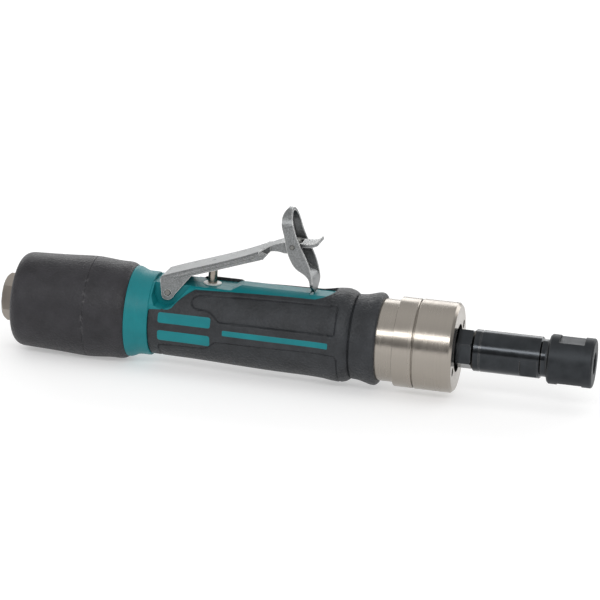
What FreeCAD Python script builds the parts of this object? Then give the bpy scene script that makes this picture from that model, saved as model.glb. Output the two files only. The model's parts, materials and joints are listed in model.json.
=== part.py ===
import FreeCAD, Part
import math
import os

# Pneumatic die grinder, millimetres. The tool's axis is X, +X points out of the collet and
# +Z towards the throttle lever. The origin is on the axis, in the front face of the collet nut.
# Stations along the tool are distances back from that face, so a station s lies at X = -s.

Vector = FreeCAD.Vector
AXIS = Vector(1, 0, 0)

# ---- driving dimensions -------------------------------------------------------------------

SHANK_RADIUS = 3.175            # quarter-inch tool shank
RUN = 0.05                      # radial running clearance

NUT_FRONT = -1.2                # the collet sits this far inside the nut
NUT_REAR = 19.3
NUT_RADIUS = 11.27
NUT_FLAT_AF = 19.05
NUT_FLATS = (3.4, 14.9)
NUT_FLAT_ANGLE = 0.0            # degrees from +Z towards -Y
BODY_NECK_RADIUS = 8.5
BODY_FRONT = 22.6
BODY_REAR = 53.9
BODY_RADIUS = 9.5
BODY_FLAT_AF = 16.2
BODY_FLATS = (23.8, 31.5)
BODY_FLAT_ANGLE = 118.0
THREAD_RADIUS = 8.2
STUB_RADIUS = 6.0
STUB_FRONT = 38.0
HEX_REAR = 65.0
HEX_AF = 15.875
HEX_TURN = 2.0                  # degrees, stored angle of the hexagon's edges

CAP_FRONT = 60.9
CAP_REAR = 79.1
CAP_RADIUS = 20.5
CAP_MOUTH_RADIUS = 10.9
SPANNER_HOLE_RADIUS = 2.0
SPANNER_PITCH_RADIUS = 14.6
SPANNER_ANGLE = 123.0
BAND_REAR = 87.9
BAND_RADIUS = 20.4
SLEEVE_RADIUS = 18.7
SLEEVE_THREAD_RADIUS = 16.4
SLEEVE_REAR = 118.0

COLLAR_FRONT = 95.9
GRIP_FRONT = 107.9
GRIP_REAR = 201.3
HOUSING_CORE_RADIUS = 17.3
TONGUE_RADIUS = 19.24
TONGUE_TOP = 18.9
TONGUE_LOW_TOP = 17.2
TONGUE_STEP = (161.5, 165.5)
FLARE_REAR = 211.9
FLARE_RADIUS = 20.9
BOOT_REAR = 266.5
BOOT_PARTING = 230.8
SPIGOT_RADIUS = 18.4
INLET_TUBE_RADIUS = 11.5
INLET_BORE_RADIUS = 9.0
INLET_HEX_AF = 19.05
INLET_REAR = 272.7
INLET_THREAD_RADIUS = 5.6
SHANK_FRONT = 252.8

MOTOR_BORE_RADIUS = 15.3
CYLINDER_RADIUS = 15.25
CYLINDER_BORE_RADIUS = 13.0
ECCENTRICITY = 1.0
ROTOR_RADIUS = 11.9
FRONT_PLATE = (118.2, 123.8)
CYLINDER_SPAN = (123.8, 156.2)
REAR_PLATE = (156.2, 166.0)
GASKET_REAR = 166.8
BLADE_COUNT = 4
BLADE_THICKNESS = 1.6
BLADE_ROOT = 5.8

PIVOT_S, PIVOT_Z = 194.4, 13.1
LEVER_TILT = 19.0
LEVER_HALF_WIDTH = 9.6
SHEET = 1.5
NECK_HALF_WIDTH = 5.0
PIVOT_PIN_RADIUS = 1.5
BEAD_RADIUS = 0.6               # stiffening bead pressed along each flange of the lever
BEAD_PROUD = 0.35
DIMPLE_AT = 22.5                # over the valve stem, from the pivot along the lever
DIMPLE_RADIUS, DIMPLE_DEPTH = 3.0, 0.35
RIDGE_RADIUS = 0.45             # serrations across the lever's thumb tab
EAR_GAP = 0.15                  # between an ear and the housing's lug

LOCK_S, LOCK_Z = 138.1, 40.35
LOCK_HALF_WIDTH = 8.75
LOCK_SHEET = 1.4
LOCK_PIN_RADIUS = 0.9
LOCK_HEAD_RADIUS = 1.2          # peened over outside the lock lever
LOCK_FOOT = -21.15              # underside of the toe, from the lock pin
TOE_HALF_WIDTH = 4.6
TOE_POCKET = (119.5, 129.8)     # recess in the housing that the toe moves in
TOE_POCKET_HALF_WIDTH = 5.4
TOE_POCKET_DEPTH = 0.6

VALVE_S = 175.8
STEM_RADIUS = 2.1
STEM_TOP = 26.15
BUSHING_RADIUS = 4.1
BUSHING_TOP = 17.6
BUSHING_BOTTOM = 10.2
CHAMBER_BOTTOM = -9.5


# ---- helpers ------------------------------------------------------------------------------

def at(station, y=0.0, z=0.0):
    return Vector(-station, y, z)


def tube(front, rear, radius, bore=0.0, y=0.0, z=0.0):
    """A round bar or tube along the tool's axis."""
    bar = Part.makeCylinder(radius, rear - front, at(rear, y, z), AXIS)
    if bore:
        bar = bar.cut(Part.makeCylinder(bore, rear - front, at(rear, y, z), AXIS))
    return bar


def upright(station, low, high, radius, bore=0.0, y=0.0):
    """A round bar or tube along Z."""
    bar = Part.makeCylinder(radius, high - low, at(station, y, low))
    if bore:
        bar = bar.cut(Part.makeCylinder(bore, high - low, at(station, y, low)))
    return bar


def crossbar(station, z, half_length, radius):
    """A round bar along Y, centred."""
    low, high = -half_length, half_length
    return Part.makeCylinder(radius, high - low, at(station, low, z), Vector(0, 1, 0))


def block(s_front, s_rear, y_low, y_high, z_low, z_high):
    return Part.makeBox(s_rear - s_front, y_high - y_low, z_high - z_low,
                        at(s_rear, y_low, z_low))


def hexagon(front, rear, across_flats, turn=0.0):
    """A hexagonal bar along the axis; turn 0 puts a corner at +Z."""
    corner = across_flats / math.sqrt(3)
    points = []
    for i in range(7):
        angle = math.radians(60 * i + turn)
        points.append(at(rear, -corner * math.sin(angle), corner * math.cos(angle)))
    return Part.Face(Part.makePolygon(points)).extrude(AXIS * (rear - front))


def outline(runs):
    """A closed wire in the plane y = 0. A run of two points is a line, a longer one is a
    smooth curve; each run starts where the one before it ends."""
    edges = []
    for run in runs:
        points = [Vector(*p) for p in run]
        if len(points) == 2:
            edges.append(Part.LineSegment(points[0], points[1]).toShape())
        else:
            curve = Part.BSplineCurve()
            curve.interpolate(points)
            edges.append(curve.toShape())
    return Part.Wire(edges)


def turned(runs):
    """A solid of revolution from runs of (station, radius) points."""
    flat = [[(-s, 0, r) for s, r in run] for run in runs]
    return Part.Face(outline(flat)).revolve(Vector(), AXIS, 360)


def turned_polygon(points):
    """A solid of revolution from a closed polygon of (station, radius) points."""
    closed = list(points) + [points[0]]
    wire = Part.makePolygon([at(s, 0, r) for s, r in closed])
    return Part.Face(wire).revolve(Vector(), AXIS, 360)


def plate(runs, y_low, y_high):
    """An outline of (x, z) points in the plane y = 0, drawn out from y_low to y_high."""
    wire = outline([[(x, 0, z) for x, z in run] for run in runs])
    wire.translate(Vector(0, y_low, 0))
    return Part.Face(wire).extrude(Vector(0, y_high - y_low, 0))


def polygon_runs(points):
    closed = list(points) + [points[0]]
    return [[a, b] for a, b in zip(closed, closed[1:])]


def flats(solid, span, across_flats, angle, reach=30.0):
    """Cut two opposite wrench flats; angle is from +Z towards -Y."""
    front, rear = span
    for side in (0, 180):
        cutter = block(front, rear, -reach, reach, across_flats / 2, reach)
        cutter.rotate(Vector(), AXIS, angle + side)
        solid = solid.cut(cutter)
    return solid


def around(solid, count, first=0.0):
    """Copies of a solid, evenly spaced round the tool's axis."""
    copies = []
    for i in range(count):
        copy = solid.copy()
        copy.rotate(Vector(), AXIS, first + 360.0 * i / count)
        copies.append(copy)
    return copies


def group(solids):
    return Part.makeCompound(solids)


def one(shape):
    """The single solid of a boolean's result, with its split faces joined."""
    shape = shape.removeSplitter()
    return shape.Solids[0] if len(shape.Solids) == 1 else shape


def tilt_with_lever(shape):
    """Carry a shape from the lever's own frame (pivot at the origin, web level) to the tool."""
    shape.rotate(Vector(), Vector(0, 1, 0), -LEVER_TILT)
    shape.translate(at(PIVOT_S, 0, PIVOT_Z))
    return shape


# ---- collet end ---------------------------------------------------------------------------

def make_collet():
    body = turned_polygon([(0.0, SHANK_RADIUS), (0.0, 4.8), (0.3, 5.0), (2.0, 5.0), (4.5, 7.0),
                           (6.0, 7.0), (10.0, 5.5), (26.5, 5.5), (26.5, SHANK_RADIUS)])
    for turn in (0, 45, 90, 135):
        slit = block(-1, 22, -8, 8, -0.3, 0.3)
        slit.rotate(Vector(), AXIS, turn + 10)
        body = body.cut(slit)
    return body


def make_collet_nut():
    nut = turned_polygon([(NUT_FRONT, 5.3), (NUT_FRONT, NUT_RADIUS - 0.9),
                          (NUT_FRONT + 0.25, NUT_RADIUS - 0.35), (NUT_FRONT + 0.8, NUT_RADIUS),
                          (NUT_REAR - 0.8, NUT_RADIUS), (NUT_REAR, NUT_RADIUS - 0.8),
                          (NUT_REAR, THREAD_RADIUS + RUN), (6.2, THREAD_RADIUS + RUN), (6.2, 7.1),
                          (4.5, 7.1), (2.0, 5.1), (NUT_FRONT + 0.3, 5.1)])
    return one(flats(nut, NUT_FLATS, NUT_FLAT_AF, NUT_FLAT_ANGLE))


def make_collet_body():
    outer = [(6.6, 7.4), (7.4, THREAD_RADIUS), (NUT_REAR + 0.4, THREAD_RADIUS),
             (NUT_REAR + 0.4, BODY_NECK_RADIUS), (BODY_FRONT - 0.3, BODY_NECK_RADIUS),
             (BODY_FRONT - 0.3, 8.9), (BODY_FRONT + 0.3, BODY_RADIUS),
             (BODY_REAR - 1.1, BODY_RADIUS), (BODY_REAR, 8.6)]
    inner = [(BODY_REAR, STUB_RADIUS), (STUB_FRONT, STUB_RADIUS), (STUB_FRONT, 4.0), (28.0, 4.0),
             (28.0, 5.52), (10.02, 5.52), (6.6, 6.795)]
    barrel = turned_polygon(outer + inner)
    groove = tube(BODY_REAR - 4.2, BODY_REAR - 3.6, BODY_RADIUS + 1, BODY_RADIUS - 0.3)
    return one(flats(barrel, BODY_FLATS, BODY_FLAT_AF, BODY_FLAT_ANGLE).cut(groove))


def make_spindle():
    stub = turned_polygon([(STUB_FRONT, 0), (STUB_FRONT, STUB_RADIUS - 0.8),
                           (STUB_FRONT + 0.8, STUB_RADIUS), (BODY_REAR, STUB_RADIUS),
                           (BODY_REAR, 0)])
    neck = hexagon(BODY_REAR, HEX_REAR, HEX_AF, HEX_TURN)
    neck = neck.common(turned_polygon([(BODY_REAR, 0), (BODY_REAR, 8.6), (BODY_REAR + 0.7, 9.3),
                                       (HEX_REAR - 0.7, 9.3), (HEX_REAR, 8.6), (HEX_REAR, 0)]))
    shaft = turned_polygon([(HEX_REAR, 0), (HEX_REAR, 7.9), (84.0, 7.9), (84.0, 6.0), (92.0, 6.0),
                            (92.0, 5.4), (93.2, 5.4), (93.2, 6.0), (124.0, 6.0),
                            (124.0, 5.0), (155.0, 5.0), (155.0, 4.0), (164.6, 4.0),
                            (165.0, 3.6), (165.0, 0)])
    return one(stub.fuse([neck, shaft]))


# ---- steel front end ----------------------------------------------------------------------

def make_front_cap():
    cap = turned_polygon([(CAP_FRONT, CAP_MOUTH_RADIUS), (CAP_FRONT, CAP_RADIUS - 1.2),
                          (CAP_FRONT + 1.2, CAP_RADIUS), (CAP_REAR - 0.9, CAP_RADIUS),
                          (CAP_REAR - 0.55, CAP_RADIUS - 0.3), (CAP_REAR - 0.55, CAP_RADIUS - 1.4),
                          (CAP_REAR, CAP_RADIUS - 1.4),
                          (CAP_REAR, 14.0), (83.0, 14.0), (83.0, 11.2), (76.0, 11.2), (76.0, 12.0),
                          (70.0, 12.0), (70.0, 10.6), (CAP_FRONT + 3.5, 10.6),
                          (CAP_FRONT + 3.5, CAP_MOUTH_RADIUS)])
    hole = tube(CAP_FRONT - 1, CAP_FRONT + 5, SPANNER_HOLE_RADIUS, z=SPANNER_PITCH_RADIUS)
    for hole_copy in around(hole, 2, SPANNER_ANGLE):
        cap = cap.cut(hole_copy)
    return one(cap)


def make_motor_sleeve():
    return turned_polygon([(CAP_REAR, 14.0), (CAP_REAR, BAND_RADIUS - 0.3),
                           (CAP_REAR + 0.35, BAND_RADIUS), (BAND_REAR - 0.12, BAND_RADIUS),
                           (BAND_REAR, BAND_RADIUS - 0.12),
                           (BAND_REAR, SLEEVE_RADIUS), (GRIP_FRONT, SLEEVE_RADIUS),
                           (GRIP_FRONT, SLEEVE_THREAD_RADIUS), (SLEEVE_REAR, SLEEVE_THREAD_RADIUS),
                           (SLEEVE_REAR, 12.0), (92.0, 12.0), (92.0, 14.0)])


def make_front_collar():
    return turned([[(COLLAR_FRONT, SLEEVE_RADIUS), (COLLAR_FRONT, 20.2)],
                   [(COLLAR_FRONT, 20.2), (96.7, 20.9), (98.5, 21.1), (100.6, 20.6), (102.7, 20.0),
                    (105.0, 19.55), (GRIP_FRONT - 0.5, 19.4)],
                   [(GRIP_FRONT - 0.5, 19.4), (GRIP_FRONT, 18.9)],
                   [(GRIP_FRONT, 18.9), (GRIP_FRONT, SLEEVE_RADIUS)],
                   [(GRIP_FRONT, SLEEVE_RADIUS), (COLLAR_FRONT, SLEEVE_RADIUS)]])


# ---- composite housing and rubber ---------------------------------------------------------

def tongue_mask():
    """The plan of the composite that shows through the rubber, as an upright prism."""
    half = [(117.6, 2.4), (120.0, 6.2), (126.0, 9.5), (181.5, 9.5), (190.5, 16.6),
            (192.5, 17.0), (GRIP_REAR, 17.0)]
    points = [(-s, y) for s, y in half] + [(-s, -y) for s, y in reversed(half)]
    wire = Part.makePolygon([Vector(x, y, 6.0) for x, y in points + [points[0]]])
    return Part.Face(wire).extrude(Vector(0, 0, 20))


def ear_pocket(side):
    """The recess that one ear of the lever moves in."""
    low, high = LEVER_HALF_WIDTH - SHEET - EAR_GAP, 25.0
    y_low, y_high = (low, high) if side > 0 else (-high, -low)
    points = [(-200.6, 30), (-200.6, 12.0), (-198.8, 8.2), (-195.0, 6.9), (-191.0, 8.4),
              (-188.2, 11.8), (-178.5, 24.0), (-178.5, 30)]
    return plate(polygon_runs(points), y_low, y_high)


def make_housing():
    core = turned_polygon([(GRIP_FRONT, SLEEVE_THREAD_RADIUS), (GRIP_FRONT, HOUSING_CORE_RADIUS),
                           (GRIP_REAR, HOUSING_CORE_RADIUS), (GRIP_REAR, 0), (GASKET_REAR, 0),
                           (GASKET_REAR, MOTOR_BORE_RADIUS), (SLEEVE_REAR, MOTOR_BORE_RADIUS),
                           (SLEEVE_REAR, SLEEVE_THREAD_RADIUS)])
    collar = turned([[(GRIP_REAR, 0), (GRIP_REAR, 18.9)],
                     [(GRIP_REAR, 18.9), (GRIP_REAR + 0.4, 19.2)],
                     [(GRIP_REAR + 0.4, 19.2), (205.5, 19.25), (207.4, 19.5), (209.4, 20.4),
                      (210.9, FLARE_RADIUS)],
                     [(210.9, FLARE_RADIUS), (FLARE_REAR, FLARE_RADIUS)],
                     [(FLARE_REAR, FLARE_RADIUS), (FLARE_REAR, SPIGOT_RADIUS)],
                     [(FLARE_REAR, SPIGOT_RADIUS), (219.0, SPIGOT_RADIUS)],
                     [(219.0, SPIGOT_RADIUS), (219.0, INLET_TUBE_RADIUS)],
                     [(219.0, INLET_TUBE_RADIUS), (262.0, INLET_TUBE_RADIUS)],
                     [(262.0, INLET_TUBE_RADIUS), (262.0, 0)],
                     [(262.0, 0), (GRIP_REAR, 0)]])
    raised = tube(117.6, GRIP_REAR, TONGUE_RADIUS, HOUSING_CORE_RADIUS - 0.5)
    raised = raised.common(tongue_mask())
    top_cut = block(110, TONGUE_STEP[0] + 0.01, -12, 12, TONGUE_TOP, 25)
    low_cut = block(TONGUE_STEP[1], GRIP_REAR, -12, 12, TONGUE_LOW_TOP, 25)
    ramp = plate(polygon_runs([(-TONGUE_STEP[0], TONGUE_TOP), (-TONGUE_STEP[0], 25),
                               (-TONGUE_STEP[1] - 0.01, 25),
                               (-TONGUE_STEP[1] - 0.01, TONGUE_LOW_TOP),
                               (-TONGUE_STEP[1], TONGUE_LOW_TOP)]), -12, 12)
    raised = raised.cut(top_cut.fuse([low_cut, ramp]))
    housing = core.fuse([collar, raised])
    cuts = [ear_pocket(1), ear_pocket(-1)]
    cuts.append(block(*TOE_POCKET, -TOE_POCKET_HALF_WIDTH, TOE_POCKET_HALF_WIDTH,
                      TONGUE_TOP - TOE_POCKET_DEPTH, 25))
    cuts.append(crossbar(PIVOT_S, PIVOT_Z, 20, PIVOT_PIN_RADIUS))
    cuts.append(upright(VALVE_S, CHAMBER_BOTTOM, 25, BUSHING_RADIUS))
    cuts.append(tube(186.0, 247.8, 5.0))                                    # air inlet
    cuts.append(tube(VALVE_S, 190.0, 2.8, z=-4.0))
    cuts.append(tube(247.8, 262.5, INLET_BORE_RADIUS))
    cuts.append(tube(GASKET_REAR - 1, VALVE_S, 2.6, z=6.9))                 # air to the motor
    exhaust = tube(GASKET_REAR - 1, 220.0, 2.3, z=13.6)
    cuts += [c for c in around(exhaust, 9, 0) if c.BoundBox.ZMax < 6.0]
    channel = tube(FRONT_PLATE[1] + 6, GASKET_REAR, 2.6, z=13.4)
    cuts += [c for c in around(channel, 9, 0) if c.BoundBox.ZMax < 6.0]
    for cutter in cuts:
        housing = housing.cut(cutter)
    return one(housing)


def make_grip():
    skin = turned([[(GRIP_FRONT, HOUSING_CORE_RADIUS), (GRIP_FRONT, 18.9)],
                   [(GRIP_FRONT, 18.9), (GRIP_FRONT + 0.6, 19.6)],
                   [(GRIP_FRONT + 0.6, 19.6), (110.6, 20.9), (113.2, 21.45), (116.0, 21.3),
                    (120.5, 20.7), (126.6, 20.35), (143.0, 20.1), (162.0, 19.5), (180.6, 18.8),
                    (GRIP_REAR - 0.5, 18.3)],
                   [(GRIP_REAR - 0.5, 18.3), (GRIP_REAR, 17.9)],
                   [(GRIP_REAR, 17.9), (GRIP_REAR, HOUSING_CORE_RADIUS)],
                   [(GRIP_REAR, HOUSING_CORE_RADIUS), (GRIP_FRONT, HOUSING_CORE_RADIUS)]])
    return one(skin.cut(tongue_mask()))


def make_boot():
    outer = [(FLARE_REAR + 0.2, FLARE_RADIUS), (FLARE_REAR + 1.2, 21.7), (218.0, 22.35), (229.6, 23.1),
             (240.0, 22.7), (246.7, 22.3), (255.0, 21.95), (BOOT_REAR - 5.2, 21.7)]
    corner = [(BOOT_REAR - 5.2, 21.7), (BOOT_REAR - 1.5, 20.2), (BOOT_REAR, 16.6)]
    boot = turned([outer, corner,
                   [(BOOT_REAR, 16.6), (BOOT_REAR, INLET_TUBE_RADIUS)],
                   [(BOOT_REAR, INLET_TUBE_RADIUS), (261.0, INLET_TUBE_RADIUS)],
                   [(261.0, INLET_TUBE_RADIUS), (261.0, 18.6)],
                   [(261.0, 18.6), (219.2, 18.6)],
                   [(219.2, 18.6), (219.2, SPIGOT_RADIUS)],
                   [(219.2, SPIGOT_RADIUS), (FLARE_REAR + 0.2, SPIGOT_RADIUS)],
                   [(FLARE_REAR + 0.2, SPIGOT_RADIUS), (FLARE_REAR + 0.2, FLARE_RADIUS)]])
    parting_line = tube(BOOT_PARTING - 0.15, BOOT_PARTING + 0.15, 25.0, 22.93)
    boot = boot.cut(parting_line)
    vent = tube(258.0, 270.0, 1.7, z=15.0)
    for hole in around(vent, 10, 18):
        boot = boot.cut(hole)
    return one(boot)


# ---- air inlet ----------------------------------------------------------------------------

def make_inlet_bushing():
    head = hexagon(BOOT_REAR, INLET_REAR, INLET_HEX_AF, -12.0)
    head = head.common(turned_polygon([(BOOT_REAR, 0), (BOOT_REAR, 11.2), (INLET_REAR - 1.3, 11.2),
                                       (INLET_REAR, 9.7), (INLET_REAR, 0)]))
    shank = turned_polygon([(SHANK_FRONT, 0), (SHANK_FRONT, INLET_BORE_RADIUS - 0.6),
                            (SHANK_FRONT + 0.6, INLET_BORE_RADIUS), (BOOT_REAR, INLET_BORE_RADIUS),
                            (BOOT_REAR, 0)])
    bore = tube(SHANK_FRONT - 1, INLET_REAR + 1, INLET_THREAD_RADIUS)
    mouth = turned_polygon([(INLET_REAR - 0.8, 0), (INLET_REAR - 0.8, INLET_THREAD_RADIUS),
                            (INLET_REAR + 0.2, 6.6), (INLET_REAR + 0.2, 0)])
    return one(head.fuse(shank).cut(bore.fuse(mouth)))


def make_inlet_screen():
    disc = tube(252.0, SHANK_FRONT, INLET_BORE_RADIUS - 0.2)
    for ring, count in ((1.9, 6), (4.0, 12)):
        for hole in around(tube(251, 254, 0.55, z=ring), count):
            disc = disc.cut(hole)
    return disc.cut(tube(251, 254, 0.55))


# ---- throttle valve -----------------------------------------------------------------------

def make_stem_bushing():
    bushing = upright(VALVE_S, BUSHING_BOTTOM, BUSHING_TOP, BUSHING_RADIUS, STEM_RADIUS + RUN)
    return bushing.cut(upright(VALVE_S, 12.6, 14.0, STEM_RADIUS + 1.2))


def make_stem_o_ring():
    ring = Part.makeTorus(STEM_RADIUS + 0.62, 0.58)
    ring.translate(at(VALVE_S, 0, 13.3))
    return ring


def make_valve_stem():
    points = [(0, STEM_TOP), (1.2, STEM_TOP - 0.12), (STEM_RADIUS, STEM_TOP - 0.75),
              (STEM_RADIUS, 5.4), (1.1, 4.8), (1.1, 1.0), (0, 1.0), (0, STEM_TOP)]
    wire = Part.makePolygon([Vector(r, 0, z) for r, z in points])
    stem = Part.Face(wire).revolve(Vector(), Vector(0, 0, 1), 360)
    stem.translate(at(VALVE_S))
    return stem


def make_valve_seat():
    return upright(VALVE_S, 1.0, 3.0, BUSHING_RADIUS, STEM_RADIUS + 0.3)


def make_valve_poppet():
    return upright(VALVE_S, -0.8, 1.0, 3.3).fuse(upright(VALVE_S, -2.4, -0.8, 1.5)).removeSplitter()


def make_valve_spring():
    low, high, wire_radius, mean_radius = CHAMBER_BOTTOM + 0.32, -1.14, 0.3, 2.3
    helix = Part.makeHelix((high - low) / 4.0, high - low, mean_radius)
    profile = Part.Wire(Part.makeCircle(wire_radius, Vector(mean_radius, 0, 0), Vector(0, 1, 0)))
    spring = Part.Wire(helix).makePipeShell([profile], True, True)
    spring.translate(at(VALVE_S, 0, low))
    return spring


# ---- levers -------------------------------------------------------------------------------

LEVER_TOP = [(-0.7, 8.0), (20.0, 8.2), (38.0, 8.5), (47.0, 9.2), (54.0, 10.0), (58.5, 9.9),
             (62.5, 8.9), (66.5, 7.1), (70.3, 6.1), (72.4, 6.2), (73.9, 7.1)]


def lowered(points, depth):
    return [(a, b - depth) for a, b in points]


def sheet_strip(top, depth, half_width):
    """A strip of sheet under a smooth top line."""
    under = list(reversed(lowered(top, depth)))
    return plate([top, [top[-1], under[0]], under, [under[-1], top[0]]], -half_width, half_width)


def ear_runs(inset):
    """The lever's side outline with its ears; inset draws it in from the outside."""
    top = lowered(LEVER_TOP[:4], inset)
    return [top,
            [top[-1], (50.6, 7.0)], [(50.6, 7.0), (47.7, 5.1)], [(47.7, 5.1), (13.0, 5.03)],
            [(13.0, 5.03), (2.9, -1.6)],
            [(2.9, -1.6), (1.3, -2.9), (-0.6, -3.3), (-2.3, -2.6), (-3.1, -0.6)],
            [(-3.1, -0.6), (-1.6, 7.1 - inset)], [(-1.6, 7.1 - inset), top[0]]]


def gusset():
    """The part of the lever that narrows from the flanges to the neck, as bent sheet."""
    side = [(46.5, 9.0), (51.3, 9.55), (50.6, 7.0), (46.5, 6.8)]

    def plan(inset):
        wide, narrow = LEVER_HALF_WIDTH - inset, NECK_HALF_WIDTH - inset
        half = [(46.0, wide), (47.6, wide), (51.6, narrow)]
        points = half + [(x, -y) for x, y in reversed(half)]
        wire = Part.makePolygon([Vector(x, y, 0) for x, y in points + points[:1]])
        return Part.Face(wire).extrude(Vector(0, 0, 20))

    below = plate(polygon_runs([(46.0, 9.0 - SHEET), (55.0, 10.0 - SHEET), (55.0, 0), (46.0, 0)]),
                  -20, 20)
    solid = plate(polygon_runs(side), -LEVER_HALF_WIDTH, LEVER_HALF_WIDTH).common(plan(0.0))
    return solid.cut(below.common(plan(SHEET)))


def beads():
    """Round ribs along the flanges, following the bend."""
    start, end = Vector(5.0, 0, 6.0), Vector(48.0, 0, 7.15)
    ribs = []
    for side in (1, -1):
        shift = Vector(0, side * (LEVER_HALF_WIDTH - BEAD_RADIUS + BEAD_PROUD), 0)
        rod = Part.makeCylinder(BEAD_RADIUS, (end - start).Length, start + shift, end - start)
        ribs += [rod, Part.makeSphere(BEAD_RADIUS, start + shift),
                 Part.makeSphere(BEAD_RADIUS, end + shift)]
    return ribs


def serrations():
    """Ridges across the thumb tab."""
    return [Part.makeCylinder(RIDGE_RADIUS, 2 * NECK_HALF_WIDTH - 0.6,
                              Vector(x, 0.3 - NECK_HALF_WIDTH, z), Vector(0, 1, 0))
            for x, z in ((67.2, 6.75), (68.7, 6.3), (70.2, 5.98), (71.7, 5.95))]


def make_throttle_lever():
    outer = plate(ear_runs(0.0), -LEVER_HALF_WIDTH, LEVER_HALF_WIDTH)
    bends = [e for e in outer.Edges if e.BoundBox.YLength < 0.01 and e.BoundBox.XLength > 40
             and e.BoundBox.ZMin > 7.0]
    outer = outer.makeFillet(2.0, bends)
    inner_half = LEVER_HALF_WIDTH - SHEET
    below = plate([lowered(LEVER_TOP, SHEET), [lowered(LEVER_TOP, SHEET)[-1], (73.9, -8.0)],
                   [(73.9, -8.0), (LEVER_TOP[0][0], -8.0)],
                   [(LEVER_TOP[0][0], -8.0), (LEVER_TOP[0][0], 8.0 - SHEET)]],
                  -inner_half, inner_half)
    behind = block(0.2, 10, -inner_half, inner_half, -8.0, 8.0 - SHEET)
    channel = outer.cut(below).cut(behind)
    tongue = sheet_strip(LEVER_TOP[3:], SHEET, NECK_HALF_WIDTH)
    lug_runs = [LEVER_TOP[3:8], [LEVER_TOP[7], (66.2, 6.6)],
                [(66.2, 6.6), (65.2, 5.0), (62.1, 3.95), (59.0, 4.3), (56.6, 5.0)],
                [(56.6, 5.0), (53.5, 6.6), (47.0, 7.0)], [(47.0, 7.0), LEVER_TOP[3]]]
    lugs = plate(lug_runs, -NECK_HALF_WIDTH, NECK_HALF_WIDTH)
    lugs = lugs.cut(plate(lug_runs, -NECK_HALF_WIDTH + 1.4, NECK_HALF_WIDTH - 1.4)
                    .cut(tongue))
    lever = one(channel.fuse([tongue, lugs, gusset()] + beads() + serrations()))
    hub_a, hub_b = lock_hub()
    holes = [Part.makeCylinder(PIVOT_PIN_RADIUS + RUN, 40, Vector(0, -20, 0), Vector(0, 1, 0)),
             Part.makeCylinder(LOCK_PIN_RADIUS, 40, Vector(hub_a, -20, hub_b), Vector(0, 1, 0)),
             block(-65.6, -59.2, -3.6, 3.6, 5.0, 12.0),
             Part.makeSphere(DIMPLE_RADIUS, Vector(DIMPLE_AT, 0,
                                                   8.24 + DIMPLE_RADIUS - DIMPLE_DEPTH))]
    for hole in holes:
        lever = lever.cut(hole)
    return tilt_with_lever(one(lever))


def lock_hub():
    """The lock lever's pin in the throttle lever's own frame."""
    x, z = PIVOT_S - LOCK_S, LOCK_Z - PIVOT_Z
    tilt = math.radians(LEVER_TILT)
    return (x * math.cos(tilt) + z * math.sin(tilt), -x * math.sin(tilt) + z * math.cos(tilt))


# Side outlines of the lock lever, (x, z) from its pin.
LOCK_REAR = [(-2.4, 17.0), (-4.8, 15.6), (-5.7, 12.0), (-4.1, 5.0), (-2.3, -2.0), (-0.3, -6.6),
             (2.5, -10.0), (5.9, -12.0), (8.1, -14.0), (9.0, -17.0), (9.2, LOCK_FOOT)]
LOCK_FRONT = [(10.6, LOCK_FOOT), (10.4, -17.0), (9.7, -13.2), (8.0, -8.0), (5.3, -2.5), (3.1, 1.6),
              (1.1, 6.0), (-0.7, 11.5), (-2.4, 17.0)]
LOCK_TOP = 16.5
LOCK_SHOULDER, LOCK_TIP_HALF_WIDTH = -17.0, 2.8


def round_top(half_width, top_z, x_low=-20.0, x_high=20.0):
    """A prism along X with a semicircular top, to round off the lock lever's thumb tab."""
    centre = top_z - half_width
    drum = Part.makeCylinder(half_width, x_high - x_low, Vector(x_low, 0, centre), AXIS)
    slab = Part.makeBox(x_high - x_low, 2 * half_width, centre + 40,
                        Vector(x_low, -half_width, -40))
    return drum.fuse(slab)


def shield_front():
    """A prism along X: the lock lever's outline from the front, with its toe drawn in below."""
    wide, tip = LOCK_HALF_WIDTH, LOCK_TIP_HALF_WIDTH
    right = [(wide, 20.0), (wide, LOCK_SHOULDER + 0.6), (wide - 0.9, LOCK_SHOULDER - 0.9),
             (TOE_HALF_WIDTH + 1.2, -19.2), (tip + 0.9, -20.3), (tip, -22.0)]
    points = right + [(-y, z) for y, z in reversed(right)]
    wire = Part.makePolygon([Vector(-20, y, z) for y, z in points + points[:1]])
    return Part.Face(wire).extrude(Vector(40, 0, 0))


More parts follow.
